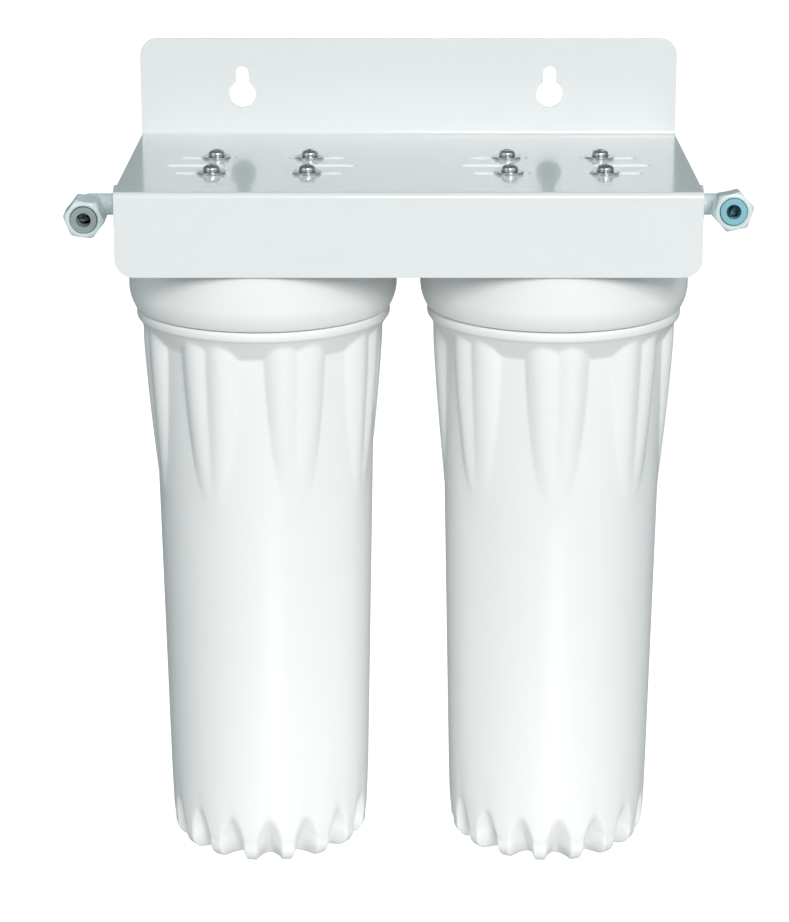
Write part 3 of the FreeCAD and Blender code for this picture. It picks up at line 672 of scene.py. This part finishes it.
def screws_tree(thread):
    """Four screws from one section: turned, crossed, threaded and set out in a rectangle."""
    tree, section, v = geometry_tree("Screws", SCREW_INPUTS)
    grid, angle, radius, z, _ = swept_grid(tree, section, v["Segments"])
    blank = wrapped_grid(tree, grid, radius, angle, z)
    arms = tree.add("GeometryNodeJoinGeometry")
    for along, across in (("Arm length", "Arm width"), ("Arm width", "Arm length")):
        size = tree.combine(v[along] * 2.0, v[across] * 2.0, v["Arm depth"] * 2.0)
        bar = tree.add("GeometryNodeMeshCube", {"Size": size})
        tree.plug(arms.inputs[0], lifted(tree, bar, v["Top"]))
    crossed = tree.add(
        "GeometryNodeMeshBoolean", {"Mesh 1": blank, "Mesh 2": arms.outputs[0]},
        operation="DIFFERENCE", solver="EXACT",
    )
    crossed.inputs["Self Intersection"].default_value = True
    foot, crest = SCREW_THREAD_SHARES
    ridge = tree.add(
        "GeometryNodeGroup",
        {
            "Segments": SCREW_THREAD_SEGMENTS, "Root": v["Root"], "Crest": v["Crest"],
            "Pitch": v["Pitch"], "Turns": v["Turns"], "Foot width": v["Pitch"] * foot,
            "Crest width": v["Pitch"] * crest, "Material": v["Material"],
        },
        node_tree=thread.tree,
    )
    screw = tree.add("GeometryNodeJoinGeometry")
    tree.plug(screw.inputs[0], crossed.outputs[0])
    tree.plug(screw.inputs[0], lifted(tree, ridge, v["Thread foot"]))
    corners = tree.add(
        "GeometryNodeMeshGrid",
        {"Size X": v["Spread X"], "Size Y": v["Spread Y"], "Vertices X": 2, "Vertices Y": 2},
    )
    index = Term(tree, tree.add("GeometryNodeInputIndex").outputs[0])
    copies = copied(tree, corners, screw, (index + 1.0) * SCREW_TURN)
    end_tree(tree, copies, v["Material"])
    return tree


NET_INPUTS = ("Strands", "Radius", "Height", "Turns", "Strand radius", "Material")


def net_tree():
    """Strands wound both ways round Z that cross in diamonds."""
    tree, _, v = geometry_tree("Net", NET_INPUTS)
    profile = tree.add(
        "GeometryNodeCurvePrimitiveCircle", {"Resolution": 6, "Radius": v["Strand radius"]}
    )
    both = tree.add("GeometryNodeJoinGeometry")
    for turns in (v["Turns"], v["Turns"] * -1.0):
        line = tree.add("GeometryNodeMeshLine", {"Count": NET_POINTS, "Offset": (0.0, 0.0, 1.0)})
        along = tree.position()[2] / (NET_POINTS - 1.0)
        angle = along * turns * math.tau
        spot = tree.combine(
            v["Radius"] * angle.cosine(), v["Radius"] * angle.sine(), v["Height"] * along
        )
        wound = tree.add(
            "GeometryNodeSetPosition", {"Geometry": line.outputs[0], "Position": spot}
        )
        curve = tree.add("GeometryNodeMeshToCurve", {"Mesh": wound.outputs[0]})
        strand = tree.add(
            "GeometryNodeCurveToMesh",
            {"Curve": curve.outputs[0], "Profile Curve": profile.outputs[0], "Fill Caps": True},
        )
        starts = tree.add(
            "GeometryNodeMeshLine", {"Count": v["Strands"], "Offset": (0.0, 0.0, 0.0)}
        )
        index = Term(tree, tree.add("GeometryNodeInputIndex").outputs[0])
        copies = copied(tree, starts, strand, index * (math.tau / v["Strands"]))
        tree.plug(both.inputs[0], copies)
    end_tree(tree, both.outputs[0], v["Material"])
    return tree


def rims(work):
    """Groups of sharp edges that run in closed rings, clear of other sharp edges."""
    sharp = [edge for edge in work.edges if edge.calc_face_angle(0.0) > RIM]
    left = set(sharp)
    groups = []
    for first in sharp:
        if first not in left:
            continue
        left.discard(first)
        group, waiting = [], [first]
        while waiting:
            edge = waiting.pop()
            group.append(edge)
            for vertex in edge.verts:
                for near in vertex.link_edges:
                    if near in left:
                        left.discard(near)
                        waiting.append(near)
        corners = {vertex for edge in group for vertex in edge.verts}
        if len(corners) == len(group):
            groups.append(group)
    return groups


def softened(node, material, width):
    """A copy of a CAD piece with its rims slightly rounded, in place of the node."""
    source = frame["nodes"][node]
    mesh = source.data.copy()
    work = bmesh.new()
    work.from_mesh(mesh)
    bmesh.ops.remove_doubles(work, verts=work.verts, dist=WELD)
    bmesh.ops.dissolve_limit(work, angle_limit=FLAT, verts=work.verts, edges=work.edges)
    for rim in rims(work):
        bmesh.ops.bevel(
            work, geom=rim, offset=width, offset_type="OFFSET", segments=2, profile=0.5,
            affect="EDGES", clamp_overlap=True,
        )
    work.to_mesh(mesh)
    work.free()
    mesh.transform(source.matrix_world)
    piece = as_piece(node + "_soft", mesh)
    dress(piece, material)
    smoothing = piece.modifiers.new("Flat faces", "WEIGHTED_NORMAL")
    smoothing.weight = 100
    smoothing.keep_sharp = True
    as_stand_in(piece, node)


def housing_place(side):
    """The middle of a sump's neck at its top, and the sump's height."""
    low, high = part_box(side + "_sump")
    ring_low, ring_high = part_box(side + "_sump_oring")
    middle = (ring_low + ring_high) / 2
    return Vector((middle.x, middle.y, high.z)), high.z - low.z


def placed(piece, place):
    piece.data.transform(Matrix.Translation(place))
    return piece


MATERIALS = {}


def look(name, build):
    """A material made once and kept by name."""
    if name not in MATERIALS:
        material = bpy.data.materials.new(name)
        material.use_nodes = True
        material.node_tree.nodes.clear()
        tree = Tree(material.node_tree)
        shader = tree.add("ShaderNodeBsdfPrincipled")
        tree.add("ShaderNodeOutputMaterial", {"Surface": shader.outputs[0]})
        spot = tree.add("ShaderNodeTexCoord").outputs["Object"]
        build(tree, shader, spot)
        MATERIALS[name] = material
    return MATERIALS[name]


def shader_group(name, inputs, outputs):
    """A shader node group, made once, with its input and output sockets."""
    group = bpy.data.node_groups.new(name, "ShaderNodeTree")
    for key, kind, value in inputs:
        socket = group.interface.new_socket(key, in_out="INPUT", socket_type="NodeSocket" + kind)
        if value is not None:
            socket.default_value = value
    for key, kind in outputs:
        group.interface.new_socket(key, in_out="OUTPUT", socket_type="NodeSocket" + kind)
    tree = Tree(group)
    return tree, tree.add("NodeGroupInput").outputs, tree.add("NodeGroupOutput").inputs


def moulding_group():
    """Tone, gloss and relief of a smooth skin: slow drift plus a fine ripple."""
    if "Skin" in bpy.data.node_groups:
        return bpy.data.node_groups["Skin"]
    tree, given, out = shader_group(
        "Skin",
        (
            ("Vector", "Vector", None), ("Colour", "Color", None), ("Drift scale", "Float", 12.0),
            ("Drift", "Float", 0.03), ("Ripple scale", "Float", 900.0), ("Gloss", "Float", 0.3),
            ("Gloss change", "Float", 0.05),
        ),
        (("Colour", "Color"), ("Roughness", "Float"), ("Height", "Float")),
    )
    drift = tree.add(
        "ShaderNodeTexNoise",
        {"Vector": given["Vector"], "Scale": given["Drift scale"], "Detail": 4.0},
    )
    ripple = tree.add(
        "ShaderNodeTexNoise",
        {"Vector": given["Vector"], "Scale": given["Ripple scale"], "Detail": 2.0},
    )
    slow = Term(tree, drift.outputs["Fac"])
    value = (slow - 0.5) * Term(tree, given["Drift"]) * 2.0 + 1.0
    shaded = tree.add("ShaderNodeHueSaturation", {"Color": given["Colour"], "Value": value})
    rough = Term(tree, given["Gloss"]) + (slow - 0.5) * Term(tree, given["Gloss change"]) * 2.0
    tree.plug(out["Colour"], shaded.outputs[0])
    tree.plug(out["Roughness"], rough)
    tree.plug(out["Height"], ripple.outputs["Fac"])
    return tree.tree


def skin(tree, shader, spot, tint, relief, values):
    """Puts the skin group on a shader, with its own values."""
    group = tree.add("ShaderNodeGroup", node_tree=moulding_group())
    for key, value in {"Vector": spot, "Colour": (*tint, 1.0), **values}.items():
        tree.plug(group.inputs[key], value)
    tree.plug(shader.inputs["Base Color"], group.outputs["Colour"])
    tree.plug(shader.inputs["Roughness"], group.outputs["Roughness"])
    bump = tree.add("ShaderNodeBump", {"Height": group.outputs["Height"], "Distance": relief})
    tree.plug(shader.inputs["Normal"], bump.outputs[0])


class Look(NamedTuple):
    """A material: its colour in Finishes, its relief and its values for group and shader."""

    tint: str
    relief: float
    skin: dict
    shader: dict = {}
    squeeze: float = 1.0  # of the grain, along Z


RING = {
    "Drift": 0.05, "Drift scale": 150.0, "Gloss": 0.26, "Gloss change": 0.06,
    "Ripple scale": 2200.0,
}
LOOKS = {
    "bracket_enamel": Look(
        "enamel", 0.00001, {"Drift": 0.012, "Gloss": 0.2, "Ripple scale": 450.0},
        {"Coat Weight": 0.5, "Coat Roughness": 0.06},
    ),
    "shell_plastic": Look(
        "shell", 0.000006, {"Drift": 0.012, "Ripple scale": 1400.0}, {"IOR": 1.49},
    ),
    "milky_plastic": Look(
        "fitting", 0.000008,
        {
            "Drift": 0.05, "Drift scale": 120.0, "Gloss": 0.24, "Gloss change": 0.08,
            "Ripple scale": 2200.0,
        },
        {
            "Subsurface Weight": 0.35, "Subsurface Radius": (0.8, 1.0, 1.0),
            "Subsurface Scale": 0.0025, "IOR": 1.48,
        },
    ),
    "ring_grey": Look("grey_ring", 0.000006, RING),
    "ring_blue": Look("blue_ring", 0.000006, RING),
    "seal_rubber": Look(
        "rubber", 0.00003,
        {
            "Drift": 0.25, "Drift scale": 80.0, "Gloss": 0.5, "Gloss change": 0.1,
            "Ripple scale": 1800.0,
        },
    ),
    "zinc_steel": Look(
        "zinc", 0.00001,
        {"Drift": 0.12, "Drift scale": 260.0, "Gloss change": 0.12, "Ripple scale": 2600.0},
        {"Metallic": 1.0},
    ),
    "blown_fibre": Look(
        "fibre", 0.0004,
        {"Drift": 0.08, "Drift scale": 60.0, "Gloss": 0.85, "Ripple scale": 420.0},
        {"Sheen Weight": 0.3}, squeeze=3.5,
    ),
    "carbon": Look(
        "carbon", 0.0003,
        {
            "Drift": 0.4, "Drift scale": 900.0, "Gloss": 0.65, "Gloss change": 0.3,
            "Ripple scale": 1500.0,
        },
    ),
    "wrap_fabric": Look(
        "wrap", 0.0002,
        {
            "Drift": 0.1, "Drift scale": 300.0, "Gloss": 0.8, "Gloss change": 0.1,
            "Ripple scale": 1100.0,
        },
        {"Sheen Weight": 0.2},
    ),
    "net_plastic": Look("net", 0.00002, {"Drift": 0.04, "Gloss": 0.35}),
    "cap_plastic": Look("cap", 0.00001, {"Gloss": 0.4}),
}


def finish(name):
    """The material of a look, with the skin group on its shader."""
    given = LOOKS[name]
    tint = getattr(bpy.context.scene.filter_finish, given.tint)

    def build(tree, shader, spot):
        if given.squeeze != 1.0:
            scale = (1.0, 1.0, given.squeeze)
            spot = tree.add("ShaderNodeMapping", {"Vector": spot, "Scale": scale}).outputs[0]
        skin(tree, shader, spot, tint, given.relief, given.skin)
        for key, value in given.shader.items():
            shader.inputs[key].default_value = value
    return look(name, build)


class Lamp(NamedTuple):
    """A square light, with its spread in degrees."""

    name: str
    place: tuple
    aim: tuple
    size: float
    power: float
    spread: float = 180.0


LAMPS = (
    Lamp("key", place=(0.5, -2.5, 1.25), aim=(0.02, -0.08, -0.15), size=1.0, power=51.0),
    Lamp("left fill", place=(-1.6, -1.4, 0.9), aim=(-0.05, -0.08, -0.15), size=1.4, power=9.5),
    Lamp("right fill", place=(1.6, -1.2, 1.0), aim=(0.05, -0.08, -0.15), size=1.4, power=7.5),
    Lamp(
        "foot light", place=(0.1, -0.9, -0.62), aim=(0.0, -0.1, -0.42), size=0.3, power=0.08,
        spread=26.0,
    ),
)


class FILTER_OT_stage(Operator):
    """Camera, pale floor and soft lights"""

    bl_idname = "filter.stage"
    bl_label = "Stage"

    def execute(self, context):
        scene = context.scene
        s = scene.filter_stage
        scene.view_settings.view_transform = "Standard"
        data = bpy.data.cameras.new("camera")
        data.lens = s.lens * 1000.0
        data.sensor_width = 36.0
        data.shift_x, data.shift_y = CAMERA_SHIFT
        data.clip_end = 60.0
        camera = bpy.data.objects.new("camera", data)
        camera.location = (0.0, -s.camera_distance, s.camera_height)
        camera.rotation_euler = (math.pi / 2 - s.camera_pitch, 0.0, 0.0)
        scene.collection.objects.link(camera)
        scene.camera = camera
        self.floor(scene, s)
        self.lights(scene)
        self.world(scene)
        return {"FINISHED"}

    def floor(self, scene, s):
        half = s.floor_size / 2
        height = CAD_BOX[0][2] - s.floor_drop
        mesh = bpy.data.meshes.new("floor")
        corners = [(-half, -half), (half, -half), (half, half), (-half, half)]
        mesh.from_pydata([(x, y, height) for x, y in corners], [], [(0, 1, 2, 3)])
        floor = bpy.data.objects.new("floor", mesh)
        scene.collection.objects.link(floor)

        def build(tree, shader, spot):
            skin(tree, shader, spot, s.floor_tint, 0.0, {"Drift": 0.004, "Gloss": 0.9})
            shader.inputs["Emission Color"].default_value = (1.0, 1.0, 1.0, 1.0)
            seen = Term(tree, tree.add("ShaderNodeLightPath").outputs["Is Camera Ray"])
            tree.plug(shader.inputs["Emission Strength"], seen * s.floor_glow)
        mesh.materials.append(look("pale_floor", build))

    def lights(self, scene):
        for lamp in LAMPS:
            data = bpy.data.lights.new(lamp.name, "AREA")
            data.size = lamp.size
            data.energy = lamp.power
            data.spread = math.radians(lamp.spread)
            data.color = LIGHT_TINT
            light = bpy.data.objects.new(lamp.name, data)
            light.location = lamp.place
            direction = Vector(lamp.aim) - Vector(lamp.place)
            light.rotation_euler = direction.to_track_quat("-Z", "Y").to_euler()
            scene.collection.objects.link(light)

    def world(self, scene):
        world = bpy.data.worlds.new("studio")
        world.use_nodes = True
        world.node_tree.nodes.clear()
        tree = Tree(world.node_tree)
        sky = tree.add("ShaderNodeBackground", {"Color": SKY_TINT, "Strength": SKY_STRENGTH})
        tree.add("ShaderNodeOutputWorld", {"Surface": sky.outputs[0]})
        scene.world = world


class FILTER_OT_sumps(Operator):
    """Screw-down bowls with leaf grips, fluted feet and a threaded neck"""

    bl_idname = "filter.sumps"
    bl_label = "Sumps"

    def execute(self, context):
        scene = context.scene
        sizes, grip = scene.filter_sump, scene.filter_grip
        bowl, ridge = sump_tree(), thread_tree()
        for side in HOUSINGS:
            place, height = housing_place(side)
            rows, top, foot = sump_profile(sizes, grip, height)
            turned = getattr(grip, side + "_turn") - math.pi / 2
            lean = math.atan2(grip.flute_inset, grip.flute_rise)
            deepest = sizes.body_foot - grip.flute_inset
            values = {
                **taken(sizes, "Segments", "Body top", "Body foot"),
                **taken(
                    grip, "Leaf half", "Leaf length", "Leaf height", "Narrowing", "Width power",
                    "Height power", "Lobe share", "Leaf soft", "Groove soft", "Flute radius",
                    "Flute soft",
                ),
                "Top height": top, "Foot height": foot, "Leaf count": float(grip.leaves),
                "Leaf turn": turned, "Flute count": float(grip.flutes),
                "Flute turn": turned + grip.flute_turn, "Flute tilt": lean,
                "Flute reach": deepest + grip.flute_radius * math.cos(lean),
                "Flute drop": foot - grip.flute_radius * math.sin(lean),
                "Material": finish("shell_plastic"),
            }
            bowl_piece = grown(side + "_bowl", bowl, values, profile_mesh(side + "_section", rows))
            as_stand_in(placed(bowl_piece, place), side + "_sump")
            thread = grown(side + "_thread", ridge, {
                "Segments": NECK_THREAD_SEGMENTS, "Root": sizes.neck_root - sizes.thread_sunk,
                "Crest": sizes.neck_crest, "Pitch": sizes.thread_pitch,
                "Turns": sizes.thread_turns, "Foot width": sizes.thread_foot,
                "Crest width": sizes.thread_tip, "Material": finish("shell_plastic"),
            })
            start = sizes.collar_drop - sizes.thread_start
            placed(thread, place - Vector((0.0, 0.0, start)))
            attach(thread, side + "_sump")
        return {"FINISHED"}


def screw_section(s, reach):
    """Half outline of a pan-head screw, from the top of its head to its point."""
    edge, steps = 0.0002, 8
    rows = [(0.0, s.head_height), (s.crown, s.head_height)]
    for i in range(1, steps + 1):
        angle = math.radians(90 - 90 * i / steps)
        rows.append((
            s.crown + (s.head_radius - s.crown) * math.cos(angle),
            s.head_edge + (s.head_height - s.head_edge) * math.sin(angle),
        ))
    rows += [(s.head_radius, edge), (s.head_radius - edge, 0.0), (s.shank_root, 0.0)]
    return rows + [(s.shank_root, s.shank_root * 2.0 - reach), (0.0, -reach)]


def nut_section(n):
    """Half outline of a tube nut from its back, through the bore and over the lip, to its back."""
    slope_step, side_step = 0.0005, 0.0015
    edge = n.edge
    lip = n.length - n.lip
    bore = [(n.bore, 0.0), (n.bore, lip), (n.lip_bore, lip)]
    bore += [(n.lip_bore, n.length - edge), (n.lip_bore + edge, n.length)]
    outer = [(n.hollow - edge, n.length), (n.hollow - edge / 3, n.length - edge / 3)]
    outer += [(n.hollow + edge / 2, n.length - edge)]
    outer += spaced((n.hollow + edge / 2, n.length - edge), (n.corner, lip), slope_step)[1:]
    outer += spaced((n.corner, lip), (n.corner, edge), side_step)
    outer += [(n.corner, edge), (n.corner - edge / 3, edge / 3), (n.corner - edge, 0.0)]
    return bore + [(*spot, 1.0) for spot in outer] + [(n.bore, 0.0)]


class FILTER_OT_nuts(Operator):
    """Hand nuts with rounded points and hollow sides on the elbows"""

    bl_idname = "filter.nuts"
    bl_label = "Tube nuts"

    def execute(self, context):
        n = context.scene.filter_nut
        tree = nut_tree()
        half = math.pi / n.points
        bow = (n.corner ** 2 - n.hollow ** 2) / (2 * (n.corner * math.cos(half) - n.hollow))
        for port, turned in (("inlet", n.inlet_turn), ("outlet", n.outlet_turn)):
            joint = next(j for j in frame["joints"] if j["name"] == port + "_nut_turn")
            axis = Vector(joint["axis"]).normalized()
            low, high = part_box(port + "_tube_nut")
            middle = (low + high) / 2
            piece = grown(port + "_nut", tree, {
                "Segments": NUT_SEGMENTS, "Points": float(n.points), "Turn": turned,
                "Hollow": n.hollow, "Bow": bow, "Blunt": n.corner - n.point_round,
                "Soft": n.point_round, "Material": finish("milky_plastic"),
            }, profile_mesh(port + "_nut_section", nut_section(n)))
            across = Vector((1.0, 0.0, 0.0))
            turning = Matrix((across, axis.cross(across), axis)).transposed().to_4x4()
            back = middle - axis * (n.length / 2)
            piece.data.transform(Matrix.Translation(back) @ turning)
            as_stand_in(piece, port + "_tube_nut")
        return {"FINISHED"}


class FILTER_OT_screws(Operator):
    """Pan-head screws with a cross recess that hold the heads under the shelf"""

    bl_idname = "filter.screws"
    bl_label = "Screws"

    def execute(self, context):
        s = context.scene.filter_screw
        tree = screws_tree(thread_tree())
        for side in HOUSINGS:
            low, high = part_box(side + "_head_screws")
            reach = high.z - low.z - s.head_height
            rows = screw_section(s, reach)
            piece = grown(side + "_screws", tree, {
                "Segments": SCREW_SEGMENTS, "Spread X": high.x - low.x - 2 * s.head_radius,
                "Spread Y": high.y - low.y - 2 * s.head_radius, "Arm width": s.recess,
                "Arm length": s.recess_reach, "Arm depth": s.recess_depth,
                "Top": s.head_height, "Root": s.shank_root - s.thread_sunk,
                "Crest": s.shank_crest, "Pitch": s.pitch, "Turns": (reach - s.plain) / s.pitch,
                "Thread foot": s.point - reach, "Material": finish("zinc_steel"),
            }, profile_mesh(side + "_screw_section", rows))
            middle = (low + high) / 2
            placed(piece, Vector((middle.x, middle.y, high.z - s.head_height)))
            as_stand_in(piece, side + "_head_screws")
        return {"FINISHED"}


class FILTER_OT_net(Operator):
    """Diamond net of thin strands round the carbon cartridge"""

    bl_idname = "filter.net"
    bl_label = "Cartridge net"

    def execute(self, context):
        n = context.scene.filter_net
        low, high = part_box("carbon_net")
        middle = (low + high) / 2
        strand = n.strand
        piece = grown("net_strands", net_tree(), {
            "Strands": n.strands, "Radius": (high.x - low.x) / 2 - strand,
            "Height": high.z - low.z - 2 * strand, "Turns": n.turns, "Strand radius": strand,
            "Material": finish("net_plastic"),
        })
        placed(piece, Vector((middle.x, middle.y, low.z + strand)))
        as_stand_in(piece, "carbon_net")
        return {"FINISHED"}


# Look, material slot, width of the rounded edges and nodes.
SOFTENED = (
    ("bracket_enamel", "bracket_enamel", 0.0002, ("bracket",)),
    ("shell_plastic", "head_plastic", 0.0005, ("left_head", "right_head")),
    ("zinc_steel", "zinc_steel", 0.0001, ("left_head_washers", "right_head_washers")),
    ("ring_grey", "ring_grey", 0.0002, ("inlet_tube_ring",)),
    ("ring_blue", "ring_blue", 0.0002, ("outlet_tube_ring",)),
    ("milky_plastic", "fitting_plastic", 0.0002, ("inlet_elbow", "outlet_elbow", "link_nipple")),
)


class FILTER_OT_softened(Operator):
    """Bracket, heads, washers and fittings with slightly rounded edges"""

    bl_idname = "filter.softened"
    bl_label = "Rounded edges"

    def execute(self, context):
        for name, slot, width, nodes in SOFTENED:
            for node in nodes:
                softened(node, finish(name), width)
        return {"FINISHED"}


CARRIED = {
    "seal_rubber": (
        "left_sump_oring", "right_sump_oring", "carbon_foot_gasket", "carbon_head_gasket",
        "inlet_port_seal", "outlet_port_seal", "link_seals",
    ),
    "blown_fibre": ("sediment_element",),
    "net_plastic": ("sediment_core",),
    "carbon": ("carbon_block",),
    "wrap_fabric": ("carbon_wrap",),
    "cap_plastic": ("carbon_foot_cap", "carbon_head_cap"),
}


class FILTER_OT_carried(Operator):
    """Finishes of the pieces that keep their CAD shape"""

    bl_idname = "filter.carried"
    bl_label = "Carried-over pieces"

    def execute(self, context):
        for name, nodes in CARRIED.items():
            for node in nodes:
                dress(frame["nodes"][node], finish(name))
        return {"FINISHED"}


def dress(piece, material):
    """One material on every slot of a piece."""
    slots = piece.data.materials
    if not slots:
        slots.append(material)
    for index in range(len(slots)):
        slots[index] = material


class FILTER_PT_panel(Panel):
    """The pieces, in the order they are made"""

    bl_idname = "FILTER_PT_panel"
    bl_label = "Water Filter"
    bl_space_type = "VIEW_3D"
    bl_region_type = "UI"
    bl_category = "Water Filter"

    def draw(self, context):
        for operator in OPERATORS:
            self.layout.operator(operator.bl_idname)
        for key, group in GROUPS.items():
            box = self.layout.box()
            settings = getattr(context.scene, key)
            for name in group.__annotations__:
                box.prop(settings, name, text=name.replace("_", " ").capitalize())


OPERATORS = (
    FILTER_OT_stage, FILTER_OT_carried, FILTER_OT_softened, FILTER_OT_sumps, FILTER_OT_nuts,
    FILTER_OT_screws, FILTER_OT_net,
)
CLASSES = (*GROUPS.values(), *OPERATORS, FILTER_PT_panel)


def register():
    for cls in CLASSES:
        bpy.utils.register_class(cls)
    for key, group in GROUPS.items():
        setattr(bpy.types.Scene, key, PointerProperty(type=group))


def unregister():
    for key in GROUPS:
        delattr(bpy.types.Scene, key)
    for cls in reversed(CLASSES):
        bpy.utils.unregister_class(cls)


def main():
    """Makes the pieces in the panel's order."""
    register()
    bpy.ops.filter.stage()
    bpy.ops.filter.carried()
    bpy.ops.filter.softened()
    bpy.ops.filter.sumps()
    bpy.ops.filter.nuts()
    bpy.ops.filter.screws()
    bpy.ops.filter.net()


if __name__ == "__main__":
    main()
